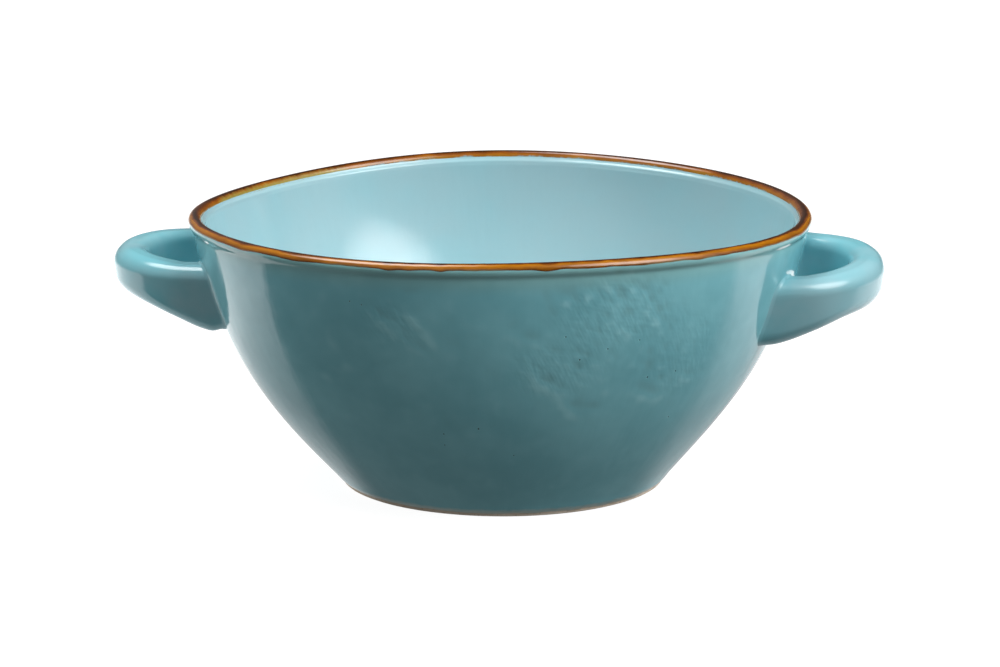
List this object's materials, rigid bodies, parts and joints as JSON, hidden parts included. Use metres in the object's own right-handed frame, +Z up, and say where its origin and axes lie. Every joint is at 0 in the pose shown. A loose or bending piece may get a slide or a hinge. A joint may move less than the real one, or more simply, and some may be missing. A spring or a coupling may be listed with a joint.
{
  "type": "lug soup bowl",
  "caption": "Round glazed stoneware soup bowl with a softly wavy, brown-banded lip, an unglazed foot and a flat-topped loop handle on each side.",
  "frame": {"origin": "on the bowl's axis at table height, which is within a millimetre and a quarter of the middle of the bounding box's bottom", "axes": "+X towards the right handle's tip, +Y across the handles, +Z up out of the bowl"},
  "size_m": [0.1901, 0.1522, 0.0691],
  "materials": {
    "blue_glaze": "glossy pale teal glaze with a faint cloth imprint, soft wrinkles and dark pinholes",
    "brown_glaze": "glossy brown glaze, thin and amber over the crest and dark where it pools",
    "bare_clay": "matt bare stoneware, faintly speckled"
  },
  "bodies": {
    "root": {"bowl_wall": "blue_glaze", "rim_band": "brown_glaze", "foot_ring": "bare_clay", "left_lug": "blue_glaze", "right_lug": "blue_glaze", "left_lug_slip": "blue_glaze", "right_lug_slip": "blue_glaze"}
  },
  "joints": []
}
